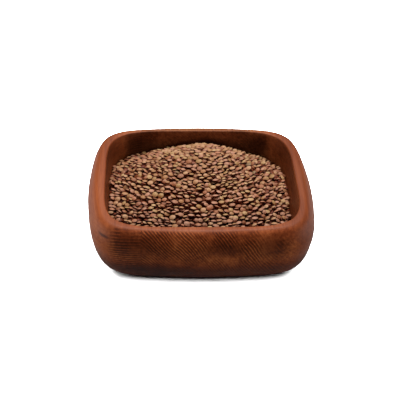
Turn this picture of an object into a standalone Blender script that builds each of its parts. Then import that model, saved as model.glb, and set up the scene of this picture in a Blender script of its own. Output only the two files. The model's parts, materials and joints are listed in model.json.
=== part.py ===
"""A square wooden bowl with softly rounded corners, filled with a heap of dry brown lentils.

Metres, +Z up. The origin is the centre of the bowl's flat foot, on the surface that it stands on.
+X runs along the front wall to the right, and +Y runs from the front wall to the back wall.
"""

import math

import bmesh
import bpy
from mathutils import Vector, noise

# The bowl's outside
BOWL_HEIGHT = 0.0566
BELLY_HALF_WIDTH = 0.100
BELLY_HEIGHT = 0.0403
FOOT_HALF_WIDTH = 0.0665
FLANK_FULLNESS = 2.06
SHOULDER_FULLNESS = 1.35

# The outside's plan: how square its corners are at three levels, what share of the way up to the belly
# its own squareness is reached at, and how far its sides bow out
FOOT_SQUARENESS = 7.7
BELLY_SQUARENESS = 5.55
BELLY_SQUARENESS_SHARE = 2 / 3
RIM_SQUARENESS = 5.95
SIDE_BOW = 0.0173

# The rim: a narrow flat between two rounded edges
RIM_CREST_HALF_WIDTH = 0.0930
RIM_CREST_DROP = 0.0013
RIM_OUTER_ROUNDING = 0.0032
RIM_INNER_HALF_WIDTH = 0.0843
RIM_INNER_ROUNDING = 0.0012

# The hollow
FLOOR_HEIGHT = 0.0090
FLOOR_HALF_WIDTH = 0.0600
HOLLOW_FULLNESS = 2.5
HOLLOW_SQUARENESS = 4.88

# The heap of lentils, whose peak is a little behind the middle of the bowl
PEAK = Vector((0.0035, 0.0240, 0.0622))
SLOPE_LEFT, SLOPE_RIGHT = 0.43, 0.52
SLOPE_BACK, SLOPE_FRONT = 0.48, 0.43
PEAK_SOFTNESS = 0.0086
FRONT_LEVELLING = 1.0
FRONT_LEVELLING_START = 0.050
BACK_CREST = Vector((0.0035, 0.0620))
BACK_CREST_HEIGHT = 0.0043
BACK_CREST_RADIUS = 0.0265
CORNER_RISE = 0.0022
CORNER_START = Vector((0.015, 0.005))
CORNER_REACH = Vector((0.045, 0.035))
HUMP_HEIGHT = 0.0011
HUMP_SPACING = 0.017
GAP = 0.0003

# How finely the round shapes are faceted, and how closely their rings lie near the foot and the floor
SIDES = 80
CORNER_CROWDING = 2 / 3
FLANK_STEPS = 9
FLANK_CROWDING = 1.6
SHOULDER_STEPS = 4
EDGE_STEPS = 2
HOLLOW_STEPS = 9
HOLLOW_CROWDING = 1.4
HEAP_RINGS = 11
HEAP_WALL_STEPS = 5
EDGE_SEARCHES = 8
SHARP_EDGE = math.radians(50)

WOOD_COLOUR, WOOD_ROUGHNESS = (0.33, 0.105, 0.045, 1.0), 0.35
LENTIL_COLOUR, LENTIL_ROUGHNESS = (0.36, 0.20, 0.095, 1.0), 0.6


def clear_scene():
    for obj in list(bpy.data.objects):
        bpy.data.objects.remove(obj)


def new_material(name, colour, roughness):
    material = bpy.data.materials.new(name)
    material.use_nodes = True
    shader = material.node_tree.nodes["Principled BSDF"]
    shader.inputs["Base Color"].default_value = colour
    shader.inputs["Roughness"].default_value = roughness
    shader.inputs["Metallic"].default_value = 0.0
    return material


def bulge(share, fullness):
    """Rises from 0 to 1 as share goes from 0 to 1, steeply at first and level at the end."""
    return (1 - (1 - share) ** fullness) ** (1 / fullness)


def quarter_round(centre, radius, start_angle, end_angle):
    """Points of an arc in the profile plane, as (half width, height) pairs."""
    points = []
    for step in range(EDGE_STEPS + 1):
        angle = math.radians(start_angle + (end_angle - start_angle) * step / EDGE_STEPS)
        points.append((centre[0] + radius * math.cos(angle), centre[1] + radius * math.sin(angle)))
    return points


def between(start, end, share):
    return start + (end - start) * share


def outside_profile():
    """From the foot's edge up the full flank to the belly, then over the shoulder to the rim's crest.

    Each level is a half width, a height and how square the plan is there.
    """
    levels = []
    for step in range(FLANK_STEPS + 1):
        share = (step / FLANK_STEPS) ** FLANK_CROWDING
        half = between(FOOT_HALF_WIDTH, BELLY_HALF_WIDTH, bulge(share, FLANK_FULLNESS))
        squared = min(1.0, share / BELLY_SQUARENESS_SHARE)
        squareness = between(FOOT_SQUARENESS, BELLY_SQUARENESS, squared)
        levels.append((half, BELLY_HEIGHT * share, squareness))
    crest_height = BOWL_HEIGHT - RIM_CREST_DROP
    for step in range(1, SHOULDER_STEPS + 1):
        share = step / SHOULDER_STEPS
        half = between(RIM_CREST_HALF_WIDTH, BELLY_HALF_WIDTH, bulge(1 - share, SHOULDER_FULLNESS))
        squareness = between(BELLY_SQUARENESS, RIM_SQUARENESS, share)
        levels.append((half, between(BELLY_HEIGHT, crest_height, share), squareness))
    for step in range(1, EDGE_STEPS + 1):
        share = step / EDGE_STEPS
        half = RIM_CREST_HALF_WIDTH - RIM_OUTER_ROUNDING * share
        levels.append((half, BOWL_HEIGHT - RIM_CREST_DROP * (1 - share) ** 2, RIM_SQUARENESS))
    return levels


def hollow_profile():
    """From the rim's inner edge down the wall of the hollow to the edge of its flat floor."""
    rounding = RIM_INNER_ROUNDING
    centre = (RIM_INNER_HALF_WIDTH + rounding, BOWL_HEIGHT - rounding)
    points = quarter_round(centre, rounding, 90, 180)
    wall_top = BOWL_HEIGHT - rounding
    for step in range(1, HOLLOW_STEPS + 1):
        share = (1 - step / HOLLOW_STEPS) ** HOLLOW_CROWDING
        half = between(FLOOR_HALF_WIDTH, RIM_INNER_HALF_WIDTH, bulge(share, HOLLOW_FULLNESS))
        points.append((half, between(FLOOR_HEIGHT, wall_top, share)))
    return points


def plan_radius(angle, half_width, squareness):
    """Distance from the middle to a rounded square's outline, in the direction of angle."""
    across = abs(math.cos(angle)) ** squareness + abs(math.sin(angle)) ** squareness
    return half_width / across ** (1 / squareness)


def plan_ring(half_width, height, squareness, bow=0.0):
    """A level rounded-square ring, as a function from an angle to a point.

    The bow draws the corners in by twice its share, so that the sides stand out a little in between.
    """

    def point(angle):
        radius = plan_radius(angle, half_width, squareness) * (1 - bow * (1 - math.cos(4 * angle)))
        return Vector((radius * math.cos(angle), radius * math.sin(angle), height))

    return point


def hollow_half_width(height):
    """Half width of the faceted hollow at a height, read along the straight runs of its profile."""
    rising = hollow_profile()[::-1]
    for (low_half, low), (high_half, high) in zip(rising, rising[1:]):
        if height <= high:
            share = max(0.0, (height - low) / (high - low))
            return between(low_half, high_half, share)
    return RIM_INNER_HALF_WIDTH


def heap_height(x, y):
    """Height of the lentils: a cone with a soft peak, levelled towards the front, with low humps.

    A low crest lies behind the peak, where the lentils lean against the back wall, and they stand
    a little higher in the two back corners.
    """
    across = (x - PEAK.x) * (SLOPE_RIGHT if x > PEAK.x else SLOPE_LEFT)
    along = (y - PEAK.y) * (SLOPE_BACK if y > PEAK.y else SLOPE_FRONT)
    fall = math.sqrt(across**2 + along**2 + PEAK_SOFTNESS**2) - PEAK_SOFTNESS
    levelled = max(0.0, PEAK.y - y - FRONT_LEVELLING_START)
    from_crest = (Vector((x, y)) - BACK_CREST).length / BACK_CREST_RADIUS
    crest = BACK_CREST_HEIGHT * math.exp(-(from_crest**2))
    sideways = min(1.0, max(0.0, (abs(x) - CORNER_START.x) / CORNER_REACH.x))
    backwards = min(1.0, max(0.0, (y - CORNER_START.y) / CORNER_REACH.y))
    corner = CORNER_RISE * sideways * backwards
    hump = HUMP_HEIGHT * noise.noise(Vector((x, y, 0.0)) / HUMP_SPACING)
    return PEAK.z - fall + FRONT_LEVELLING * levelled**2 + crest + corner + hump


def heap_edge(angle):
    """Distance from the middle to where the lentils meet the wall of the hollow, and their height there."""
    radius = plan_radius(angle, RIM_INNER_HALF_WIDTH, HOLLOW_SQUARENESS)
    for _ in range(EDGE_SEARCHES):
        height = heap_height(radius * math.cos(angle), radius * math.sin(angle))
        half = hollow_half_width(height - GAP) - GAP
        radius = plan_radius(angle, half, HOLLOW_SQUARENESS)
    return radius, height


def heap_top_ring(share):
    """A ring on the lentils' surface, at a share of the way from the middle to the wall."""

    def point(angle):
        radius = heap_edge(angle)[0] * share
        x, y = radius * math.cos(angle), radius * math.sin(angle)
        return Vector((x, y, heap_height(x, y)))

    return point


def heap_wall_ring(share):
    """A ring where the lentils lie against the hollow, from its floor at 0 to their top edge at 1."""

    def point(angle):
        bottom = FLOOR_HEIGHT + GAP
        height = between(bottom, heap_edge(angle)[1], share)
        half = hollow_half_width(height - GAP) - GAP
        radius = plan_radius(angle, half, HOLLOW_SQUARENESS)
        return Vector((radius * math.cos(angle), radius * math.sin(angle), height))

    return point


def crowded_direction(vertex):
    """Direction of a vertex of a plain circle, turned towards the nearest corner of the square."""
    x, y = vertex.co.x, vertex.co.y
    along_x = math.copysign(abs(x) ** CORNER_CROWDING, x)
    along_y = math.copysign(abs(y) ** CORNER_CROWDING, y)
    return math.atan2(along_y, along_x)


def loft(name, rings, material, collection):
    """A closed skin drawn out ring by ring from the first one, with a fan of faces across both ends."""
    mesh = bmesh.new()
    bmesh.ops.create_circle(mesh, segments=SIDES, radius=1.0)
    for vertex in mesh.verts:
        vertex.co = rings[0](crowded_direction(vertex))
    edges = list(mesh.edges)
    for ring in rings[1:]:
        drawn = bmesh.ops.extrude_edge_only(mesh, edges=edges)["geom"]
        edges = [item for item in drawn if isinstance(item, bmesh.types.BMEdge)]
        for vertex in (item for item in drawn if isinstance(item, bmesh.types.BMVert)):
            vertex.co = ring(math.atan2(vertex.co.y, vertex.co.x))
    ends = bmesh.ops.holes_fill(mesh, edges=mesh.edges[:], sides=SIDES)["faces"]
    bmesh.ops.poke(mesh, faces=ends)
    bmesh.ops.triangulate(mesh, faces=mesh.faces[:])
    bmesh.ops.recalc_face_normals(mesh, faces=mesh.faces[:])
    data = bpy.data.meshes.new(name)
    mesh.to_mesh(data)
    mesh.free()
    data.materials.append(material)
    data.shade_smooth()
    data.set_sharp_from_angle(angle=SHARP_EDGE)
    obj = bpy.data.objects.new(name, data)
    collection.objects.link(obj)
    return obj


def build_bowl(collection):
    rings = [plan_ring(*level, SIDE_BOW) for level in outside_profile()]
    rings += [plan_ring(half, height, HOLLOW_SQUARENESS) for half, height in hollow_profile()]
    return loft("bowl", rings, new_material("oiled_wood", WOOD_COLOUR, WOOD_ROUGHNESS), collection)


def build_heap(collection):
    rings = [heap_wall_ring(step / HEAP_WALL_STEPS) for step in range(HEAP_WALL_STEPS + 1)]
    rings += [heap_top_ring(1 - step / HEAP_RINGS) for step in range(1, HEAP_RINGS)]
    return loft("lentil_heap", rings, new_material("lentils", LENTIL_COLOUR, LENTIL_ROUGHNESS), collection)


def main():
    clear_scene()
    collection = bpy.data.collections.new("bowl_of_lentils")
    bpy.context.scene.collection.children.link(collection)
    build_bowl(collection)
    build_heap(collection)


main()
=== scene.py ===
"""Looks of a square wooden bowl heaped with dry brown lentils, in metres, +Z up.

The bowl is glued up from boards whose grain runs from front to back, turned smooth and oiled. The heap is
separate lentils that are dropped one by one onto a smaller core, each settling on those below it.
"""

import json
import math

import bmesh
import bpy
import numpy as np
from mathutils import Matrix, Vector
from mathutils.bvhtree import BVHTree

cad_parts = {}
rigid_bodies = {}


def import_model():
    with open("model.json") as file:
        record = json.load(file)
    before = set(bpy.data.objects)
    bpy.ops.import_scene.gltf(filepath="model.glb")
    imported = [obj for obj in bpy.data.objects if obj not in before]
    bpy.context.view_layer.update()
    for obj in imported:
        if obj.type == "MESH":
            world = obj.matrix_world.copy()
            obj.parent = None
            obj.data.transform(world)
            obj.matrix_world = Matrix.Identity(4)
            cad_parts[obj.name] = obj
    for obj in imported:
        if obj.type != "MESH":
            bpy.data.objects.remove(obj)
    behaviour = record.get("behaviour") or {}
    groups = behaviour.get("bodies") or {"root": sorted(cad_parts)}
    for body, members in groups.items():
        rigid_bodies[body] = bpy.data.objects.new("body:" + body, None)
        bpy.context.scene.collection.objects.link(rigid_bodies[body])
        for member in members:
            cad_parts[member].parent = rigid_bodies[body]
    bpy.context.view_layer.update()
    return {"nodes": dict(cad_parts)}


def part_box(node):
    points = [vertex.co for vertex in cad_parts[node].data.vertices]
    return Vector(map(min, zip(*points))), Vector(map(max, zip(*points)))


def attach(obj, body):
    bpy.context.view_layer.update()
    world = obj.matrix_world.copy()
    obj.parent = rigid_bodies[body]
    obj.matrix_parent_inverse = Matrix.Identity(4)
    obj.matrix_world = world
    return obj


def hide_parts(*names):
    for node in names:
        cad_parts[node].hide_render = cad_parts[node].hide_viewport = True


MM = 0.001

# The bowl's profile, as in the construction
FOOT_HALF_WIDTH = 66.5 * MM
BELLY_HEIGHT = 40.3 * MM
FLANK_FULLNESS = 2.06
SHOULDER_FULLNESS = 1.35
FOOT_SQUARENESS = 7.7
BELLY_SQUARENESS = 5.55
RIM_SQUARENESS = 5.95
SIDE_BOW = 0.0173
RIM_CREST_HALF_WIDTH = 93.0 * MM
RIM_CREST_DROP = 1.3 * MM
RIM_OUTER_ROUNDING = 3.2 * MM
RIM_INNER_HALF_WIDTH = 84.3 * MM
RIM_INNER_ROUNDING = 1.2 * MM
FLOOR_HEIGHT = 9.0 * MM
FLOOR_HALF_WIDTH = 60.0 * MM
HOLLOW_FULLNESS = 2.5
HOLLOW_SQUARENESS = 4.88
BELLY_SQUARENESS_SHARE = 2 / 3

# How finely the bowl is drawn: its sides, which crowd towards the corners, and its rings, which crowd towards
# the foot and the floor
BOWL_SIDES = 192
CORNER_CROWDING = 2 / 3
FOOT_RINGS = (0, 0.35, 0.7, 0.9, 0.97)
FLANK_STEPS, FLANK_CROWDING = 30, 1.8
SHOULDER_STEPS = 16
ROUNDING_STEPS = 5
HOLLOW_STEPS, HOLLOW_CROWDING = 30, 1.6
FLOOR_RINGS = (0.85, 0.6, 0.3, 0)
MERGING_DISTANCE = 0.005 * MM

# The boards that the bowl is glued up from, in millimetres: growth rings round an axis along Y, far to one
# side and below, with their width and how far they wander. Then where the right board's rings start to bend
# down and how strongly, and how far all of them quiver
JOINT_X = -52.6
LEFT_PITH, LEFT_RING_WIDTH, LEFT_WANDER = (-42.0, -202.0), 2.3, 2.0
RIGHT_PITH, RIGHT_RING_WIDTH, RIGHT_WANDER = (-205.0, -135.0), 2.07, 7.0
BEND_START, BEND = 30.0, 0.004
QUIVER = 0.7

# Where the rings fade in from the left, and out to the right and downwards, on the end grain. Then what is
# left of them low down, how far they fade inside the bowl, and what is left of them along the sides
FIGURE_LEFT, FIGURE_RIGHT, FIGURE_LOW = (-94.0, -74.0), (55.0, 78.0), (16.0, 42.0)
LOW_FIGURE = 0.6
INNER_FADE_RIGHT, INNER_FADE_LEFT = 0.85, 0.35
SIDE_FIGURE = 0.1

# Darker patches of the end grain, and a scar, in millimetres: the middle and the reach of each, across and up
DARK_PATCHES = (
    (-58.0, 42.0, 34.0, 17.0),
    (57.0, 43.0, 20.0, 15.0),
    (-42.0, 18.0, 46.0, 15.0),
    (15.0, 42.5, 27.0, 9.5),
)
FRONT_SCAR = (-84.0, 47.5, 6.5, 1.8)
FRONT_SCAR_Y = -50.0

# The wood's lighter part from dark to bright, and the shades that its colour is multiplied by. Of these, the
# right side's, the inner end grain's and the foot's are painted shade, the belly's is a painted reflection of
# the floor, and the back rim's is a painted sheen
WOOD_TONES = ((0.32, (0.23, 0.050, 0.013)), (0.5, (0.38, 0.092, 0.026)), (0.68, (0.52, 0.145, 0.046)))
END_GRAIN_SHADE = (0.83, 0.75, 0.67, 1.0)
SIDE_GRAIN_SHADE = (0.68, 0.67, 0.64, 1.0)
RIGHT_SIDE_PAINTED_SHADE = (0.74, 0.68, 0.62, 1.0)
INNER_END_PAINTED_SHADE = (0.45, 0.46, 0.50, 1.0)
LATE_WOOD_SHADE = (0.16, 0.10, 0.07, 1.0)
FIBRE_SHADE = (0.5, 0.42, 0.38, 1.0)
PATCH_SHADE = (0.34, 0.27, 0.25, 1.0)
BELLY_PAINTED_REFLECTION = (0.98, 1.16, 1.22, 1.0)
SCAR_SHADE = (0.25, 0.18, 0.16, 1.0)
BACK_RIM_PAINTED_SHEEN = (0.80, 1.0, 1.0, 1.0)
FOOT_PAINTED_SHADE = (0.28, 0.25, 0.24, 1.0)
JOINT_SHADE = (0.35, 0.28, 0.25, 1.0)

# The shade of a lentil's mottling, and the painted shade on its underside and with its depth in the heap
MOTTLE_SHADE = (0.6, 0.52, 0.45, 1.0)
UNDERSIDE_PAINTED_SHADE = (0.57, 0.155, 0.06, 1.0)
DEPTH_PAINTED_SHADE = (0.33, 0.12, 0.055, 1.0)

# The painted shade of the dark core between the lentils, the floor's two greys, and its shade where the bowl
# mirrors it
PAINTED_GAP_SHADE, PAINTED_GAP_ROUND_SHADE = (0.09, 0.012, 0.004, 1.0), (0.20, 0.036, 0.012, 1.0)
FLOOR_GREY, FLOOR_PALER_GREY = (0.86, 0.86, 0.86, 1.0), (0.88, 0.88, 0.88, 1.0)
MIRRORED_FLOOR_SHADE = (0.13, 0.13, 0.13, 1.0)

# The lentils: their widths, their thickness as a share of their width, and how their few shapes are made
LENTIL_WIDTH = 5.1 * MM
LENTIL_WIDTH_SPREAD = 0.55 * MM
NARROWEST, WIDEST = 4.1 * MM, 6.3 * MM
LENTIL_THICKNESS = 0.33
LENTIL_THICKNESS_SPREAD = 0.04
THINNEST, THICKEST = 0.27, 0.42
LEAST_ROUNDNESS = 0.9
LENTIL_SHAPES = 4
LENTIL_SIDES, LENTIL_RINGS = 10, 6
RIM_SHARPNESS = 2.2
RIM_BAND = 0.01
UNEVENNESS = 0.22
SHAPE_SHIFT = (7.3, 2.1)

# How they come to lie: the share that lies along the heap's slope, and how far those and the rest lean with
# it, which is backwards for the rest
LYING_ALONG = 0.17
LEAN_ALONG, LEAN_AGAINST = 1.1, -0.75
LEAST_LEAN = 0.12
STEEPEST_LEAN, STEEPEST_BED = 0.6, 0.9
BEDDING = 0.25
LANDING_REACH = 2.2 * MM
FILL_TILT, FILL_TRIES, MOST_LENTILS = 0.15, 12, 9000
STREWN, STREWN_TILT, STREWN_TRIES = 60, 0.4, 4

# When the heap counts as full, how much chance there is in where the next lentil goes, how much less a place
# is wanted after each, and the least share of a cell that has to lie in the heap
ENOUGH = 0.9 * MM
CHANCE = 0.9 * MM
PATIENCE = 0.05 * MM
LEAST_COVER = 0.6

# The heap: how deep its lentils go, how far they stay below its surface or may stand out of it, how far the
# core lies under and within it, and the grid that they drop onto
HEAP_DEPTH = 6.5 * MM
HEAP_DROP = 0.3 * MM
HIGHEST = 1.0 * MM
CORE_DEPTH = 5.5 * MM
CORE_INSET = 1.5 * MM
CORE_WELD = 0.01 * MM
CORE_TOP_FACING = 0.3
GRID_PITCH = 0.4 * MM
CELL = 5
SEED = 11

# The lights, in watts
BACK_POWER, OVERHEAD_POWER, FRONT_POWER, WARM_POWER = 26.0, 4.0, 4.2, 5.2
LEFT_CARD_POWER, RIGHT_CARD_POWER, FLOOR_POWER = 5.5, 4.0, 960.0
WARM_COLOUR = (1.0, 0.76, 0.55)
ROOM_LIGHT = 0.03

# The camera, seen from the middle of the bowl
CAMERA_DISTANCE = 1.1518
CAMERA_ELEVATION = math.radians(31.05)
CAMERA_TURN = math.radians(-2.83)
CAMERA_ROLL = math.radians(1.369)
CAMERA_RISE = 2.78 * MM
CAMERA_LENS = 115.26


class Wire:
    """A node's output that takes part in Python expressions. Each operator adds a Math node."""

    def __init__(self, bench, socket):
        self.bench, self.socket = bench, socket

    def __add__(self, other):
        return self.bench.math("ADD", self, other)

    def __sub__(self, other):
        return self.bench.math("SUBTRACT", self, other)

    def __rsub__(self, other):
        return self.bench.math("SUBTRACT", other, self)

    def __mul__(self, other):
        return self.bench.math("MULTIPLY", self, other)

    def __truediv__(self, other):
        return self.bench.math("DIVIDE", self, other)

    def __rtruediv__(self, other):
        return self.bench.math("DIVIDE", other, self)

    def __pow__(self, other):
        return self.bench.math("POWER", self, other)

    def __abs__(self):
        return self.bench.math("ABSOLUTE", self)

    def __lt__(self, other):
        return self.bench.math("LESS_THAN", self, other)

    __radd__ = __add__
    __rmul__ = __mul__


class Bench:
    """Adds nodes to a shader or geometry tree and joins them up."""

    def __init__(self, tree):
        self.tree = tree

    def plug(self, value, socket):
        if isinstance(value, Wire):
            self.tree.links.new(value.socket, socket)
        else:
            socket.default_value = value

    def add(self, kind, settings=None, inputs=None, output=0):
        """A node of this kind. Its settings come first, then its sockets by identifier or place."""
        node = self.tree.nodes.new(kind)
        for name, value in (settings or {}).items():
            if name == "stops":
                self.set_stops(node.color_ramp, value)
            else:
                setattr(node, name, value)
        places = {socket.identifier: socket for socket in node.inputs}
        for name, value in (inputs or {}).items():
            self.plug(value, places[name] if name in places else node.inputs[name])
        outputs = {socket.identifier: socket for socket in node.outputs}
        if output is None or not outputs:
            return node
        return Wire(self, outputs[output] if output in outputs else node.outputs[output])

    def set_stops(self, ramp, stops):
        while len(ramp.elements) < len(stops):
            ramp.elements.new(1.0)
        for element, (place, colour) in zip(ramp.elements, stops):
            element.position = place
            element.color = (*colour, 1.0)

    def math(self, operation, *values):
        settings = {"operation": operation}
        return self.add("ShaderNodeMath", settings, dict(enumerate(values)))

    def smooth_step(self, value, start, end):
        """0 below start, 1 above end, and an even curve between."""
        settings = {"interpolation_type": "SMOOTHSTEP"}
        return self.add("ShaderNodeMapRange", settings, {"Value": value, "From Min": start, "From Max": end})

    def mix(self, factor, first, second):
        inputs = {"Factor_Float": factor, "A_Color": first, "B_Color": second}
        return self.add("ShaderNodeMix", {"data_type": "RGBA"}, inputs, "Result_Color")

    def darken(self, factor, colour, shade):
        """The colour multiplied by shade, as far as factor says."""
        settings = {"data_type": "RGBA", "blend_type": "MULTIPLY"}
        inputs = {"Factor_Float": factor, "A_Color": colour, "B_Color": shade}
        return self.add("ShaderNodeMix", settings, inputs, "Result_Color")

    def blend(self, factor, first, second):
        """Goes from the first number to the second as factor goes from 0 to 1."""
        return first + (second - first) * factor

    def attribute(self, name):
        return self.add("ShaderNodeAttribute", {"attribute_name": name}, {}, "Fac")

    def stretched(self, place, scale):
        """The place with each axis scaled by its own number, which stretches a pattern on it."""
        settings = {"operation": "MULTIPLY"}
        return self.add("ShaderNodeVectorMath", settings, {0: place, 1: scale})

    def noise(self, place, scale, detail=2.0, roughness=0.5):
        inputs = {"Vector": place, "Scale": scale, "Detail": detail, "Roughness": roughness}
        return self.add("ShaderNodeTexNoise", {}, inputs, "Fac")

    def axes(self, place):
        node = self.add("ShaderNodeSeparateXYZ", {}, {0: place}, None)
        return [Wire(self, socket) for socket in node.outputs]


def new_material(name):
    """An empty material, its bench, and the place on the object in millimetres."""
    material = bpy.data.materials.new(name)
    material.use_nodes = True
    material.node_tree.nodes.clear()
    bench = Bench(material.node_tree)
    place = bench.add("ShaderNodeTexCoord", {}, {}, "Object")
    return material, bench, bench.stretched(place, (1000.0, 1000.0, 1000.0))


def finish_material(bench, principled_inputs):
    shader = bench.add("ShaderNodeBsdfPrincipled", {}, principled_inputs)
    bench.add("ShaderNodeOutputMaterial", {}, {"Surface": shader}, None)


def growth_rings(bench, place, pith, width, wandering):
    """Distance in rings from a board's pith, which runs along Y. Far to the right the rings bend down."""
    x, _, z = bench.axes(place)
    distance = bench.math("SQRT", (x - pith[0]) ** 2.0 + (z - pith[1]) ** 2.0)
    distance = distance - bench.math("MAXIMUM", x - BEND_START, 0.0) ** 2.0 * BEND
    wander = bench.noise(bench.stretched(place, (1.0, 0.25, 1.0)), 0.028, 2.0) - 0.5
    quiver = bench.noise(bench.stretched(place, (1.0, 0.1, 1.0)), 0.22, 1.0) - 0.5
    return (distance + wander * wandering + quiver * QUIVER) / width


def soft_patch(bench, x, z, middle_x, middle_z, reach_x, reach_z):
    """1 in the middle of an oval patch of the end grain, and 0 from its reach outwards."""
    away = ((x - middle_x) / reach_x) ** 2.0 + ((z - middle_z) / reach_z) ** 2.0
    return 1 - bench.smooth_step(bench.math("SQRT", away), 0.2, 1.0)


def wood_faces(bench):
    """How far a place faces up, and 1 where it faces the front or the back, so that it shows end grain."""
    across, along, up = bench.axes(bench.add("ShaderNodeTexCoord", {}, {}, "Normal"))
    facing = abs(along) / bench.math("SQRT", across * across + along * along + 0.0001)
    end_grain = bench.smooth_step(facing, 0.78, 0.95) * (1 - bench.smooth_step(up, 0.80, 0.90))
    return up, end_grain


def late_wood(bench, place, end_grain, inside):
    """The dark part of each growth ring, strong on the end grain and faint along the sides."""
    x, _, z = bench.axes(place)
    left = x < JOINT_X
    rings = bench.blend(
        left,
        growth_rings(bench, place, RIGHT_PITH, RIGHT_RING_WIDTH, RIGHT_WANDER),
        growth_rings(bench, place, LEFT_PITH, LEFT_RING_WIDTH, LEFT_WANDER),
    )
    saw = bench.math("FRACT", rings)
    late = bench.smooth_step(saw, 0.18, 0.38) * (1 - bench.smooth_step(saw, 0.84, 0.98))
    strength = bench.noise(bench.stretched(place, (1.0, 0.2, 1.0)), 0.045, 2.0)
    late = late * bench.smooth_step(strength, 0.30, 0.55)
    figured = bench.smooth_step(x, *FIGURE_LEFT) * (1 - bench.smooth_step(x, *FIGURE_RIGHT))
    figured = figured * bench.blend(bench.smooth_step(z, *FIGURE_LOW), LOW_FIGURE, 1.0)
    figured = figured * (1 - inside * bench.blend(left, INNER_FADE_RIGHT, INNER_FADE_LEFT))
    return late * bench.blend(end_grain * figured, SIDE_FIGURE, 1.0)


def light_wood(bench, place, end_grain, inside, streaks):
    """The lighter wood between the rings, cloudier on the end grain; painted shade darkens it inside and on
    the right.
    """
    x = bench.axes(place)[0]
    clouds = bench.noise(bench.stretched(place, (1.0, 0.3, 1.0)), 0.035, 3.0)
    tone = 0.5 + (clouds * 0.5 + streaks * 0.5 - 0.5) * bench.blend(end_grain, 1.0, 2.0)
    light = bench.add("ShaderNodeValToRGB", {"stops": WOOD_TONES}, {"Fac": tone}, "Color")
    light = bench.darken(end_grain, light, END_GRAIN_SHADE)
    light = bench.darken(1 - end_grain, light, SIDE_GRAIN_SHADE)
    # Painted shade: the right side is darkened where it is not end grain
    light = bench.darken(bench.smooth_step(x, 66.0, 88.0) * (1 - end_grain), light, RIGHT_SIDE_PAINTED_SHADE)
    # Painted shade: the end grain inside the bowl is darkened
    return bench.darken(inside * end_grain, light, INNER_END_PAINTED_SHADE)


def wood_marks(bench, place, colour, up, end_grain, inside):
    """The colour with dark patches, its scar, its glue joint, a painted reflection round its belly, a painted
    sheen on its back rim and painted shade towards its foot.
    """
    x, y, z = bench.axes(place)
    for patch in DARK_PATCHES:
        colour = bench.darken(soft_patch(bench, x, z, *patch) * end_grain * 0.9, colour, PATCH_SHADE)
    # Painted reflection: a paler, greyer band round the belly, where the flank would mirror the floor
    belly = bench.smooth_step(z, 24.0, 34.0) * (1 - bench.smooth_step(z, 42.0, 52.0))
    colour = bench.darken(belly * end_grain, colour, BELLY_PAINTED_REFLECTION)
    scar = soft_patch(bench, x, z, *FRONT_SCAR) * (y < FRONT_SCAR_Y) * (1 - inside)
    colour = bench.darken(scar * 0.95, colour, SCAR_SHADE)
    # Painted sheen: the top of the back rim is made greyer, as if it mirrored the room
    back_rim_sheen = bench.smooth_step(y, 80.0, 88.0) * bench.smooth_step(up, 0.4, 0.8)
    colour = bench.darken(back_rim_sheen, colour, BACK_RIM_PAINTED_SHEEN)
    # Painted shade: darker towards the foot, where the flank faces down
    colour = bench.darken((1 - bench.smooth_step(z, 18.0, 36.0)) * 0.95, colour, FOOT_PAINTED_SHADE)
    joint = 1 - bench.smooth_step(abs(x - JOINT_X), 0.15, 0.5)
    return bench.darken(joint * 0.3, colour, JOINT_SHADE)


def wood_material():
    material, bench, place = new_material("oiled_wood")
    inside = bench.attribute("inside")
    up, end_grain = wood_faces(bench)
    along_grain = bench.stretched(place, (1.0, 0.03, 1.0))
    streaks = bench.noise(along_grain, 0.35, 4.0, 0.65)
    fibres = bench.noise(along_grain, 2.2, 2.0)
    late = late_wood(bench, place, end_grain, inside)
    colour = light_wood(bench, place, end_grain, inside, streaks)
    colour = bench.darken(late * 0.8, colour, LATE_WOOD_SHADE)
    colour = bench.darken(bench.smooth_step(fibres, 0.45, 0.75) * 0.4, colour, FIBRE_SHADE)
    colour = wood_marks(bench, place, colour, up, end_grain, inside)
    roughness = 0.52 + (fibres - 0.5) * 0.15 + late * 0.06
    grooves = late * 0.35 + fibres * 0.5 + streaks * 0.3
    normal = bench.add("ShaderNodeBump", {}, {"Height": grooves, "Strength": 0.12, "Distance": 0.0003})
    finish_material(bench, {"Base Color": colour, "Roughness": roughness, "Normal": normal, "IOR": 1.22})
    return material


def lentil_material(name, dull, bright, seam):
    """A seed coat, dull to bright from lentil to lentil, mottled, with a seam round its rim.

    It has painted shade underneath and with the lentil's depth, which counts for more at the sides and the
    back.
    """
    material, bench, place = new_material(name)
    mottle = bench.noise(place, 0.9, 3.0, 0.6)
    colour = bench.mix(bench.attribute("tint"), (*dull, 1.0), (*bright, 1.0))
    colour = bench.darken(bench.smooth_step(mottle, 0.42, 0.7) * 0.3, colour, MOTTLE_SHADE)
    colour = bench.mix(bench.smooth_step(bench.attribute("rim"), 0.86, 1.0) * 0.9, colour, (*seam, 1.0))
    upwards = bench.axes(bench.add("ShaderNodeTexCoord", {}, {}, "Normal"))[2]
    # Painted shade: darker where the lentil faces downwards
    underside = 1 - bench.smooth_step(upwards, 0.2, 0.85)
    colour = bench.darken(underside, colour, UNDERSIDE_PAINTED_SHADE)
    x, y, _ = bench.axes(place)
    # Painted shade: darker the deeper a lentil lies, and more so at the sides and the back
    extra_shade_at_sides_and_back = bench.smooth_step(abs(x), 20.0, 60.0) * 0.7 + bench.smooth_step(y, 0.0, 30.0) * 0.9
    painted_depth_shade = bench.smooth_step(bench.attribute("depth") + extra_shade_at_sides_and_back, 1.0, 2.8)
    colour = bench.darken(painted_depth_shade, colour, DEPTH_PAINTED_SHADE)
    skin = bench.noise(place, 2.6, 3.0, 0.6)
    normal = bench.add("ShaderNodeBump", {}, {"Height": skin, "Strength": 0.2, "Distance": 0.00008})
    roughness = 0.5 + (mottle - 0.5) * 0.3
    finish_material(bench, {"Base Color": colour, "Roughness": roughness, "Normal": normal, "IOR": 1.2})
    return material


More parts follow.
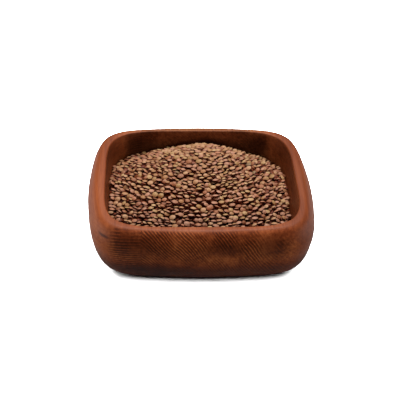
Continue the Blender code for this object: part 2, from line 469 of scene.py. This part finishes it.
def core_material():
    """Painted shade for the gaps between the lentils: a nearly black core, with their rounds showing faintly.
    """
    material, bench, place = new_material("shaded_lentils")
    inputs = {"Vector": place, "Scale": 0.22, "Randomness": 1.0}
    spread = bench.add("ShaderNodeTexVoronoi", {"feature": "F1"}, inputs, "Distance")
    round_top = 1 - bench.smooth_step(spread, 0.1, 0.6)
    # Painted shade: the core is nearly black, a little lighter on the rounds
    colour = bench.mix(round_top, PAINTED_GAP_SHADE, PAINTED_GAP_ROUND_SHADE)
    normal = bench.add("ShaderNodeBump", {}, {"Height": round_top, "Strength": 0.8, "Distance": 0.001})
    roughness = 0.75 - round_top * 0.2
    finish_material(bench, {"Base Color": colour, "Roughness": roughness, "Normal": normal})
    return material


def floor_material():
    """An even pale grey, which is dark where the bowl mirrors it."""
    material, bench, place = new_material("pale_floor")
    grey = bench.noise(place, 0.004, 2.0)
    colour = bench.mix(grey, FLOOR_GREY, FLOOR_PALER_GREY)
    mirrored = bench.add("ShaderNodeLightPath", {}, {}, "Is Glossy Ray")
    colour = bench.darken(mirrored, colour, MIRRORED_FLOOR_SHADE)
    finish_material(bench, {"Base Color": colour, "Roughness": 0.9, "Specular IOR Level": 0.0})
    return material


def bulge(share, fullness):
    """Rises from 0 to 1 as share goes from 0 to 1, steeply at first and level at the end."""
    return (1 - (1 - share) ** fullness) ** (1 / fullness)


def between(start, end, share):
    return start + (end - start) * share


def outside_levels():
    """(half width, height, squareness, bow) from the middle of the foot up the flank to the rim's top."""
    low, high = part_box("bowl")
    belly, top = high.x, high.z
    levels = [(share * FOOT_HALF_WIDTH, low.z, FOOT_SQUARENESS, SIDE_BOW) for share in FOOT_RINGS]
    for step in range(FLANK_STEPS + 1):
        share = (step / FLANK_STEPS) ** FLANK_CROWDING
        half = between(FOOT_HALF_WIDTH, belly, bulge(share, FLANK_FULLNESS))
        squared = min(1, share / BELLY_SQUARENESS_SHARE)
        squareness = between(FOOT_SQUARENESS, BELLY_SQUARENESS, squared)
        levels.append((half, between(low.z, BELLY_HEIGHT, share), squareness, SIDE_BOW))
    crest = top - RIM_CREST_DROP
    for step in range(1, SHOULDER_STEPS + 1):
        share = step / SHOULDER_STEPS
        half = between(RIM_CREST_HALF_WIDTH, belly, bulge(1 - share, SHOULDER_FULLNESS))
        squareness = between(BELLY_SQUARENESS, RIM_SQUARENESS, share)
        levels.append((half, between(BELLY_HEIGHT, crest, share), squareness, SIDE_BOW))
    for step in range(1, ROUNDING_STEPS + 1):
        share = step / ROUNDING_STEPS
        half = RIM_CREST_HALF_WIDTH - RIM_OUTER_ROUNDING * share
        levels.append((half, top - RIM_CREST_DROP * (1 - share) ** 2, RIM_SQUARENESS, SIDE_BOW))
    return levels


def hollow_levels():
    """(half width, height, squareness, bow) from the rim's inner edge down to the middle of the floor."""
    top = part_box("bowl")[1].z
    points = []
    for step in range(ROUNDING_STEPS + 1):
        angle = math.radians(90 * step / ROUNDING_STEPS)
        half = RIM_INNER_HALF_WIDTH + RIM_INNER_ROUNDING * (1 - math.sin(angle))
        points.append((half, top - RIM_INNER_ROUNDING * (1 - math.cos(angle))))
    wall_top = top - RIM_INNER_ROUNDING
    for step in range(1, HOLLOW_STEPS + 1):
        share = (1 - step / HOLLOW_STEPS) ** HOLLOW_CROWDING
        half = between(FLOOR_HALF_WIDTH, RIM_INNER_HALF_WIDTH, bulge(share, HOLLOW_FULLNESS))
        points.append((half, between(FLOOR_HEIGHT, wall_top, share)))
    points += [(share * FLOOR_HALF_WIDTH, FLOOR_HEIGHT) for share in FLOOR_RINGS]
    return [(half, height, HOLLOW_SQUARENESS, 0.0) for half, height in points]


def new_tree(name, named_inputs):
    """A geometry tree with a geometry input and the named ones, its bench, and a wire from each input."""
    tree = bpy.data.node_groups.new(name, "GeometryNodeTree")
    tree.interface.new_socket("Geometry", in_out="INPUT", socket_type="NodeSocketGeometry")
    for label, kind in named_inputs:
        tree.interface.new_socket(label, in_out="INPUT", socket_type=kind)
    tree.interface.new_socket("Geometry", in_out="OUTPUT", socket_type="NodeSocketGeometry")
    bench = Bench(tree)
    node = bench.add("NodeGroupInput", {}, {}, None)
    wires = {socket.name: Wire(bench, socket) for socket in node.outputs if socket.name}
    return tree, bench, wires


def end_tree(bench, geometry, material_wire):
    """Real mesh in one material, smooth shaded."""
    geometry = bench.add("GeometryNodeRealizeInstances", {}, {"Geometry": geometry})
    geometry = bench.add("GeometryNodeSetShadeSmooth", {}, {"Geometry": geometry})
    geometry = bench.add("GeometryNodeSetMaterial", {}, {"Geometry": geometry, "Material": material_wire})
    bench.add("NodeGroupOutput", {}, {"Geometry": geometry}, None)


def squared_turning_tree():
    """Turns a profile about Z and squares each of its rings off, by that ring's own squareness."""
    named_inputs = [
        ("Sides", "NodeSocketInt"),
        ("Crowding", "NodeSocketFloat"),
        ("Material", "NodeSocketMaterial"),
    ]
    tree, bench, given = new_tree("squared_turning", named_inputs)
    profile = given["Geometry"]
    size = bench.add("GeometryNodeAttributeDomainSize", {}, {"Geometry": profile}, "Point Count")
    columns = given["Sides"] + 1
    grid = bench.add("GeometryNodeMeshGrid", {}, {"Vertices X": size, "Vertices Y": columns}, "Mesh")
    index = bench.add("GeometryNodeInputIndex")
    row = bench.math("FLOOR", (index + 0.5) / columns)
    angle = (index - row * columns) / given["Sides"] * (2 * math.pi)
    place = bench.add("GeometryNodeInputPosition")

    def of_level(kind, value):
        """A value of the profile, read at the level that this row of the grid stands for."""
        inputs = {"Geometry": profile, "Value": value, "Index": row}
        return bench.add("GeometryNodeSampleIndex", {"data_type": kind}, inputs)

    named = {}
    for name in ("squareness", "bow", "inside"):
        settings = {"data_type": "FLOAT"}
        named[name] = bench.add("GeometryNodeInputNamedAttribute", settings, {"Name": name}, "Attribute")
    half, _, height = bench.axes(of_level("FLOAT_VECTOR", place))
    power = of_level("FLOAT", named["squareness"])
    away = []
    for operation in ("COSINE", "SINE"):
        wave = bench.math(operation, angle)
        away.append(bench.math("SIGN", wave) * abs(wave) ** given["Crowding"])
    across, along = away[0] * away[0], away[1] * away[1]
    cornering = across * along / ((across + along) * (across + along))
    reach = half / (abs(away[0]) ** power + abs(away[1]) ** power) ** (1 / power)
    reach = reach * (1 - of_level("FLOAT", named["bow"]) * cornering * 8)
    spot = bench.add("ShaderNodeCombineXYZ", {}, {0: away[0] * reach, 1: away[1] * reach, 2: height})
    skin = bench.add("GeometryNodeSetPosition", {}, {"Geometry": grid, "Position": spot})
    skin = bench.add(
        "GeometryNodeStoreNamedAttribute",
        {"data_type": "FLOAT", "domain": "POINT"},
        {"Geometry": skin, "Name": "inside", "Value": of_level("FLOAT", named["inside"])},
    )
    skin = bench.add("GeometryNodeMergeByDistance", {}, {"Geometry": skin, "Distance": MERGING_DISTANCE})
    end_tree(bench, skin, given["Material"])
    return tree


def lens_shapes(bench, given):
    """A few unlike lentils of unit radius and unit half thickness, each an instance to pick from."""
    shapes = []
    for number in range(LENTIL_SHAPES):
        inputs = {"Segments": LENTIL_SIDES, "Rings": LENTIL_RINGS, "Radius": 1.0}
        ball = bench.add("GeometryNodeMeshUVSphere", {}, inputs, "Mesh")
        place = bench.add("GeometryNodeInputPosition")
        x, y, z = bench.axes(place)
        rim = bench.math("SQRT", x * x + y * y)
        settings = {"data_type": "FLOAT", "domain": "POINT"}
        inputs = {"Geometry": ball, "Name": "rim", "Value": rim}
        ball = bench.add("GeometryNodeStoreNamedAttribute", settings, inputs)
        shift = (SHAPE_SHIFT[0] * number, SHAPE_SHIFT[1] * number, 0.0)
        moved = bench.add("ShaderNodeVectorMath", {}, {0: place, 1: shift})
        swell = 1 + (bench.noise(moved, 0.75, 1.0) - 0.5) * given["Unevenness"]
        flat = bench.math("SIGN", z) * abs(z) ** given["Rim sharpness"]
        spot = bench.add("ShaderNodeCombineXYZ", {}, {0: x * swell, 1: y * swell, 2: flat * swell})
        shape = bench.add("GeometryNodeSetPosition", {}, {"Geometry": ball, "Position": spot})
        inputs = {0: shape, 1: abs(z) < RIM_BAND, 2: False}
        shape = bench.add("GeometryNodeSetShadeSmooth", {"domain": "EDGE"}, inputs)
        shapes.append(bench.add("GeometryNodeGeometryToInstance", {}, {0: shape}))
    joined = bench.add("GeometryNodeJoinGeometry", {}, {}, None)
    for shape in reversed(shapes):
        bench.plug(shape, joined.inputs[0])
    return Wire(bench, joined.outputs[0])


def scatter_tree():
    """Sets a lentil on each point, by the point's own shape, turn and size."""
    named_inputs = [
        ("Rim sharpness", "NodeSocketFloat"),
        ("Unevenness", "NodeSocketFloat"),
        ("Material", "NodeSocketMaterial"),
    ]
    tree, bench, given = new_tree("scattered_lentils", named_inputs)
    named = {}
    for name, kind in (("turn", "FLOAT_VECTOR"), ("size", "FLOAT_VECTOR"), ("shape", "INT")):
        settings = {"data_type": kind}
        named[name] = bench.add("GeometryNodeInputNamedAttribute", settings, {"Name": name}, "Attribute")
    turned = bench.add("FunctionNodeEulerToRotation", {}, {0: named["turn"]})
    placed = bench.add(
        "GeometryNodeInstanceOnPoints",
        {},
        {
            "Points": given["Geometry"],
            "Instance": lens_shapes(bench, given),
            "Pick Instance": True,
            "Instance Index": named["shape"],
            "Rotation": turned,
            "Scale": named["size"],
        },
    )
    end_tree(bench, placed, given["Material"])
    return tree


def grow(name, mesh, tree, values):
    """Runs a geometry tree on a mesh and keeps the result as a plain mesh object."""
    source = bpy.data.objects.new(name + "_source", mesh)
    bpy.context.scene.collection.objects.link(source)
    modifier = source.modifiers.new("tree", "NODES")
    modifier.node_group = tree
    for item in tree.interface.items_tree:
        if item.in_out == "INPUT" and item.name in values:
            modifier[item.identifier] = values[item.name]
    ready = source.evaluated_get(bpy.context.evaluated_depsgraph_get())
    grown = bpy.data.meshes.new_from_object(ready)
    bpy.data.objects.remove(source)
    grown.name = name
    piece = bpy.data.objects.new(name, grown)
    bpy.context.scene.collection.objects.link(piece)
    return piece


def add_piece(piece, slot, *nodes):
    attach(piece, "root")
    if nodes:
        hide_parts(*nodes)


def make_bowl(material):
    outside, hollow = outside_levels(), hollow_levels()
    levels = [(*level, 0.0) for level in outside] + [(*level, 1.0) for level in hollow]
    mesh = bpy.data.meshes.new("profile")
    spots = [(level[0], 0.0, level[1]) for level in levels]
    mesh.from_pydata(spots, [(i, i + 1) for i in range(len(levels) - 1)], [])
    for name, column in (("squareness", 2), ("bow", 3), ("inside", 4)):
        values = [level[column] for level in levels]
        mesh.attributes.new(name, "FLOAT", "POINT").data.foreach_set("value", values)
    values = {"Sides": BOWL_SIDES, "Crowding": CORNER_CROWDING, "Material": material}
    bowl = grow("turned_bowl", mesh, squared_turning_tree(), values)
    face_outwards(bowl.data)
    add_piece(bowl, "oiled_wood", "bowl")


def face_outwards(mesh):
    shell = bmesh.new()
    shell.from_mesh(mesh)
    bmesh.ops.recalc_face_normals(shell, faces=shell.faces[:])
    shell.to_mesh(mesh)
    shell.free()


def surface_heights(node, axis):
    """Height of a node's top surface over a square grid of places, or a very low one where there is none."""
    mesh = frame["nodes"][node].data
    spots = [vertex.co for vertex in mesh.vertices]
    tree = BVHTree.FromPolygons(spots, [tuple(face.vertices) for face in mesh.polygons])
    down = Vector((0, 0, -1))
    heights = np.full((len(axis), len(axis)), -1.0)
    for row, y in enumerate(axis):
        for column, x in enumerate(axis):
            hit = tree.ray_cast(Vector((x, y, 1.0)), down)[0]
            if hit is not None:
                heights[row, column] = hit.z
    return heights


class Heap:
    """Lentils that drop onto a height field and raise it where they settle.

    A lentil is settled over the grid places that lie within reach steps of its middle.
    """

    reach = 7

    def __init__(self, axis, heap, bowl):
        self.axis = axis
        self.inside = heap > 0
        self.target = np.where(self.inside, heap - HEAP_DROP, 0.0)
        level = np.where(self.inside, heap, heap[self.inside].mean())
        self.lean_y, self.lean_x = np.gradient(level, GRID_PITCH)
        self.field = np.where(self.inside, heap - HEAP_DEPTH, bowl)
        self.random = np.random.default_rng(SEED)
        self.cover = self.pool(self.inside.astype(float)) > LEAST_COVER
        self.need = np.where(self.cover, self.pool(self.target - self.field), -1.0)
        self.settled = []

    def pool(self, field):
        """Means of the field over square blocks of it."""
        rows, columns = (length // CELL for length in field.shape)
        blocks = field[: rows * CELL, : columns * CELL].reshape(rows, CELL, columns, CELL)
        return blocks.mean(axis=(1, 3))

    def drop(self, spot, radius, half_thickness, dip, tilt, tries):
        """Drops a lentil near a spot, and lets it settle in the lowest of a few places.

        Most dip back into the heap's slope, as flat stones do in a stream, and some lie along it.
        """
        rng = self.random
        centres = spot + rng.uniform(-LANDING_REACH, LANDING_REACH, (tries, 2))
        columns = np.rint((centres[:, 0] - self.axis[0]) / GRID_PITCH).astype(int)
        rows = np.rint((centres[:, 1] - self.axis[0]) / GRID_PITCH).astype(int)
        near = self.reach
        good = (np.minimum(rows, columns) > near) & (np.maximum(rows, columns) < len(self.axis) - near - 1)
        rows, columns, centres = rows[good], columns[good], centres[good]
        if not len(rows):
            return None
        span = np.arange(-near, near + 1)
        row_grid = rows[:, None, None] + span[None, :, None]
        column_grid = columns[:, None, None] + span[None, None, :]
        patch = self.field[row_grid, column_grid]
        dx = self.axis[column_grid] - centres[:, 0, None, None]
        dy = self.axis[row_grid] - centres[:, 1, None, None]
        under = (dx**2 + dy**2 < radius**2) & self.inside[row_grid, column_grid]
        count = np.maximum(under.sum(axis=(1, 2)), 1)
        mean = (patch * under).sum(axis=(1, 2)) / count
        rise = (patch - mean[:, None, None]) * under
        slope_x = (rise * dx).sum(axis=(1, 2)) / np.maximum((under * dx**2).sum(axis=(1, 2)), 1e-9)
        slope_y = (rise * dy).sum(axis=(1, 2)) / np.maximum((under * dy**2).sum(axis=(1, 2)), 1e-9)
        lean_x = np.clip(self.lean_x[rows, columns], -STEEPEST_LEAN, STEEPEST_LEAN)
        lean_y = np.clip(self.lean_y[rows, columns], LEAST_LEAN, STEEPEST_LEAN)
        bed_x, bed_y = (BEDDING * np.clip(bed, -STEEPEST_BED, STEEPEST_BED) for bed in (slope_x, slope_y))
        slope_x = bed_x + dip * lean_x + rng.normal(0, tilt, len(rows))
        slope_y = bed_y + dip * lean_y + rng.normal(0, tilt, len(rows))
        normal = np.stack([-slope_x, -slope_y, np.ones(len(rows))], axis=1)
        normal /= np.linalg.norm(normal, axis=1)[:, None]
        low, high, touching = self.skins(dx, dy, normal, radius, half_thickness)
        height = np.where(touching, patch - low, -1.0).max(axis=(1, 2))
        local = self.target[rows, columns]
        best = int(np.argmin(height - local))
        if local[best] <= 0 or height[best] + half_thickness > local[best] + HEAP_DROP + HIGHEST:
            return None
        spot_rows, spot_columns = row_grid[best], column_grid[best]
        raised = np.where(touching[best], height[best] + high[best], -1.0)
        self.field[spot_rows, spot_columns] = np.maximum(patch[best], raised)
        self.update_need(rows[best], columns[best])
        return (*centres[best], height[best]), normal[best], local[best] - height[best]

    def skins(self, dx, dy, normal, radius, half_thickness):
        """Heights of a tilted lentil's underside and upper side about its middle, and where it has them."""
        flat, thin = radius**-2, half_thickness**-2
        form = {}
        for i in range(3):
            for j in range(i, 3):
                form[i, j] = normal[:, i] * normal[:, j] * (thin - flat) + (flat if i == j else 0.0)
        form = {key: value[:, None, None] for key, value in form.items()}
        cross = form[0, 2] * dx + form[1, 2] * dy
        rest = form[0, 0] * dx**2 + 2 * form[0, 1] * dx * dy + form[1, 1] * dy**2 - 1
        inner = cross**2 - form[2, 2] * rest
        root = np.sqrt(np.maximum(inner, 0))
        return (-cross - root) / form[2, 2], (-cross + root) / form[2, 2], inner > 0

    def update_need(self, row, column):
        top = max(0, (row - self.reach) // CELL)
        left = max(0, (column - self.reach) // CELL)
        bottom, right = (row + self.reach) // CELL + 1, (column + self.reach) // CELL + 1
        rows, columns = slice(top * CELL, bottom * CELL), slice(left * CELL, right * CELL)
        fresh = self.pool(self.target[rows, columns] - self.field[rows, columns])
        cover = self.cover[top:bottom, left:right]
        fresh = fresh[: cover.shape[0], : cover.shape[1]]
        self.need[top:bottom, left:right] = np.where(cover, fresh, -1.0)

    def fill(self, enough, most):
        """Drops lentils where the heap is lowest until it is everywhere nearly up to its surface."""
        rng = self.random
        for _ in range(most):
            wish = self.need + rng.uniform(0, CHANCE, self.need.shape)
            cell = np.unravel_index(np.argmax(wish), wish.shape)
            if self.need.max() < enough:
                break
            middle = (np.array([cell[1], cell[0]]) * CELL + CELL / 2) * GRID_PITCH + self.axis[0]
            self.add(middle, FILL_TILT, FILL_TRIES)
            self.need[cell] -= PATIENCE

    def strew(self, count):
        """Drops a few last lentils anywhere, at odder angles."""
        cells = np.argwhere(self.cover)
        for row, column in cells[self.random.choice(len(cells), count, replace=False)]:
            middle = (np.array([column, row]) * CELL + CELL / 2) * GRID_PITCH + self.axis[0]
            self.add(middle, STREWN_TILT, STREWN_TRIES)

    def add(self, middle, tilt, tries):
        rng = self.random
        width = np.clip(rng.normal(LENTIL_WIDTH, LENTIL_WIDTH_SPREAD), NARROWEST, WIDEST)
        share = np.clip(rng.normal(LENTIL_THICKNESS, LENTIL_THICKNESS_SPREAD), THINNEST, THICKEST)
        radius = width / 2
        dip = LEAN_ALONG if rng.random() < LYING_ALONG else LEAN_AGAINST
        landed = self.drop(middle, radius, radius * share, dip, tilt, tries)
        if landed is None:
            return
        spot, normal, depth = landed
        spin = Matrix.Rotation(rng.uniform(0, 2 * math.pi), 3, "Z")
        turn = (Vector((0, 0, 1)).rotation_difference(Vector(normal)).to_matrix() @ spin).to_euler()
        size = (radius, radius * rng.uniform(LEAST_ROUNDNESS, 1.0), radius * share)
        self.settled.append((spot, tuple(turn), size, depth / MM))


def settle_heap():
    half = RIM_INNER_HALF_WIDTH + 1 * MM
    axis = np.arange(-half, half, GRID_PITCH)
    heap = Heap(axis, surface_heights("lentil_heap", axis), surface_heights("bowl", axis))
    heap.fill(ENOUGH, MOST_LENTILS)
    heap.strew(STREWN)
    return heap


# How common each kind is, how much commoner towards the front, and its dull, bright and seam colours
KINDS = {
    "tan_lentils": (0.39, -0.2, (0.35, 0.167, 0.072), (0.490, 0.278, 0.150), (0.24, 0.078, 0.030)),
    "rose_lentils": (0.29, 0.35, (0.32, 0.144, 0.080), (0.465, 0.236, 0.146), (0.22, 0.064, 0.036)),
    "olive_lentils": (0.18, -0.4, (0.34, 0.184, 0.071), (0.485, 0.304, 0.150), (0.24, 0.092, 0.032)),
    "russet_lentils": (0.13, 0.2, (0.31, 0.121, 0.057), (0.440, 0.198, 0.112), (0.22, 0.062, 0.026)),
    "dark_lentils": (0.01, 0.0, (0.16, 0.092, 0.046), (0.25, 0.155, 0.080), (0.12, 0.055, 0.025)),
}
# How far to the front and the back of the middle the mixture of kinds goes on changing
MIXING_REACH = 60 * MM


def make_lentils(heap):
    tree = scatter_tree()
    rng = heap.random
    forward = np.clip([-item[0][1] / MIXING_REACH for item in heap.settled], -1, 1)
    commonness = np.array([kind[0] for kind in KINDS.values()])
    frontness = np.array([kind[1] for kind in KINDS.values()])
    shares = commonness * (1 + np.outer(forward, frontness))
    reached = np.cumsum(shares / shares.sum(axis=1, keepdims=True), axis=1)
    kinds = (reached < rng.random((len(forward), 1))).sum(axis=1)
    for number, (name, (_, _, dull, bright, seam)) in enumerate(KINDS.items()):
        chosen = [item for item, kind in zip(heap.settled, kinds) if kind == number]
        mesh = bpy.data.meshes.new(name)
        mesh.from_pydata([item[0] for item in chosen], [], [])
        columns = {
            "turn": ("FLOAT_VECTOR", "vector", np.array([item[1] for item in chosen]).ravel()),
            "size": ("FLOAT_VECTOR", "vector", np.array([item[2] for item in chosen]).ravel()),
            "shape": ("INT", "value", rng.integers(0, LENTIL_SHAPES, len(chosen))),
            "tint": ("FLOAT", "value", rng.uniform(0, 1, len(chosen))),
            "depth": ("FLOAT", "value", np.array([item[3] for item in chosen])),
        }
        for label, (kind, field, values) in columns.items():
            mesh.attributes.new(label, kind, "POINT").data.foreach_set(field, values)
        values = {
            "Rim sharpness": RIM_SHARPNESS,
            "Unevenness": UNEVENNESS,
            "Material": lentil_material(name, dull, bright, seam),
        }
        add_piece(grow(name, mesh, tree, values), "lentils")


def make_core():
    """The heap's solid, merged, drawn in from the wall and lowered, so that the lentils lie over it."""
    core = bmesh.new()
    core.from_mesh(frame["nodes"]["lentil_heap"].data)
    bmesh.ops.remove_doubles(core, verts=core.verts[:], dist=CORE_WELD)
    core.normal_update()
    low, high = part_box("lentil_heap")
    shrink = 1 - CORE_INSET / high.x
    for vertex in core.verts:
        lowered = CORE_DEPTH if vertex.normal.z > CORE_TOP_FACING else 0.0
        vertex.co.x *= shrink
        vertex.co.y *= shrink
        vertex.co.z = max(low.z, vertex.co.z - lowered)
    mesh = bpy.data.meshes.new("heap_core")
    core.to_mesh(mesh)
    core.free()
    mesh.shade_smooth()
    mesh.materials.append(core_material())
    piece = bpy.data.objects.new("heap_core", mesh)
    bpy.context.scene.collection.objects.link(piece)
    add_piece(piece, "lentils", "lentil_heap")


def make_floor():
    bpy.ops.mesh.primitive_plane_add(size=8.0, location=(0, 0, 0))
    floor = bpy.context.object
    floor.name = "floor"
    floor.data.materials.append(floor_material())
    floor.visible_diffuse = False
    return floor


def add_softbox(name, place, aim, size, power, colour=(1.0, 1.0, 1.0)):
    """A square area light at a place, facing another."""
    light = bpy.data.lights.new(name, "AREA")
    light.color = colour
    light.shape = "RECTANGLE"
    light.size, light.size_y = size
    light.energy = power
    lamp = bpy.data.objects.new(name, light)
    bpy.context.scene.collection.objects.link(lamp)
    direction = Vector(aim) - Vector(place)
    turn = direction.to_track_quat("-Z", "Y").to_matrix().to_4x4()
    lamp.matrix_world = Matrix.Translation(place) @ turn
    return lamp


def shine_only_on(lamp, *things):
    """Lets a light reach these things and nothing else."""
    lit = bpy.data.collections.new(lamp.name + "_reach")
    for thing in things:
        lit.objects.link(thing)
    lamp.light_linking.receiver_collection = lit


def make_lights(floor):
    """Two softboxes light everything, three cards the bowl, a warm card the heap, and a wash the floor.

    The room is white where the camera sees it, and nearly dark as a light.
    """
    middle = (0, 0, 0.03)
    bowl = bpy.data.objects["turned_bowl"]
    add_softbox("back_softbox", (0.0, 0.6, 1.22), middle, (0.8, 0.6), BACK_POWER)
    add_softbox("overhead_softbox", (0.0, 0.0, 1.6), middle, (1.2, 1.2), OVERHEAD_POWER)
    shine_only_on(add_softbox("left_card", (-1.0, 0.0, 0.12), middle, (1.0, 0.24), LEFT_CARD_POWER), bowl)
    shine_only_on(add_softbox("right_card", (1.0, 0.0, 0.12), middle, (1.0, 0.24), RIGHT_CARD_POWER), bowl)
    front_place, front_size = (0.0, -1.1, 0.4), (1.2, 0.2)
    front = add_softbox("front_card", front_place, middle, front_size, FRONT_POWER)
    front.visible_glossy = False
    shine_only_on(front, bowl)
    warm = add_softbox("warm_card", front_place, middle, front_size, WARM_POWER, WARM_COLOUR)
    warm.visible_glossy = False
    meshes = (thing for thing in bpy.context.scene.objects if thing.type == "MESH")
    shine_only_on(warm, *(thing for thing in meshes if thing not in (floor, bowl)))
    wash = add_softbox("floor_wash", (0.0, 0.0, 2.2), (0, 0, 0), (5.0, 5.0), FLOOR_POWER)
    shine_only_on(wash, floor)
    world = bpy.data.worlds.new("studio")
    bpy.context.scene.world = world
    world.use_nodes = True
    world.node_tree.nodes.clear()
    bench = Bench(world.node_tree)
    seen = bench.add("ShaderNodeLightPath", {}, {}, "Is Camera Ray")
    strength = bench.blend(seen, ROOM_LIGHT, 1.0)
    sky = bench.add("ShaderNodeBackground", {}, {"Color": (1, 1, 1, 1), "Strength": strength})
    bench.add("ShaderNodeOutputWorld", {}, {"Surface": sky}, None)


def make_camera():
    low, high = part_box("bowl")
    aim = Vector((0, 0, (low.z + high.z) / 2))
    data = bpy.data.cameras.new("camera")
    data.sensor_width = 36.0
    data.lens = CAMERA_LENS
    data.clip_start, data.clip_end = 0.05, 20
    camera = bpy.data.objects.new("camera", data)
    bpy.context.scene.collection.objects.link(camera)
    tilt = Matrix.Rotation(math.pi / 2 - CAMERA_ELEVATION, 4, "X")
    turn = Matrix.Rotation(CAMERA_TURN, 4, "Z")
    step_back = Matrix.Translation((0, CAMERA_RISE, CAMERA_DISTANCE))
    roll = Matrix.Rotation(CAMERA_ROLL, 4, "Z")
    camera.matrix_world = Matrix.Translation(aim) @ turn @ tilt @ step_back @ roll
    bpy.context.scene.camera = camera


for thing in list(bpy.data.objects):
    bpy.data.objects.remove(thing)
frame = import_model()
bpy.context.scene.view_settings.view_transform = "Standard"
make_camera()
make_bowl(wood_material())
make_core()
make_lentils(settle_heap())
make_lights(make_floor())
